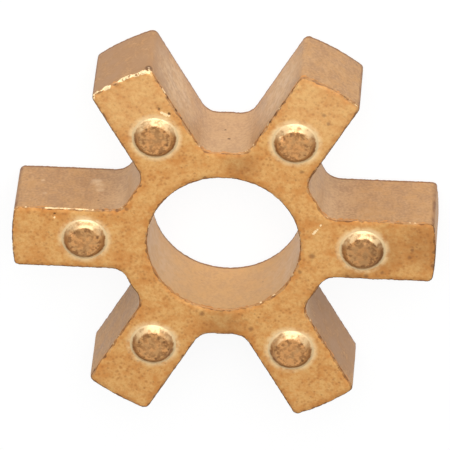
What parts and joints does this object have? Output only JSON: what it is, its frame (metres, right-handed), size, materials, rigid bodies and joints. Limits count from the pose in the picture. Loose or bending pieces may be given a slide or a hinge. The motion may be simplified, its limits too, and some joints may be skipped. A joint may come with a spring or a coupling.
{
  "type": "jaw coupling spider",
  "caption": "Flat star-shaped bronze insert with straight legs round a central bore and a low round button on each face of each leg, set between the jaws of shaft coupling hubs.",
  "frame": {"origin": "on the shaft axis, in the plane of the lower buttons' tops that the part lies on", "axes": "+Z along the shaft axis and up as the part lies flat, +X along one leg"},
  "size_m": [0.0536, 0.0498, 0.012],
  "materials": {
    "sintered_bronze": "pressed and sintered, matt and granular, unpolished"
  },
  "bodies": {
    "root": {"spider": "sintered_bronze"}
  },
  "joints": []
}
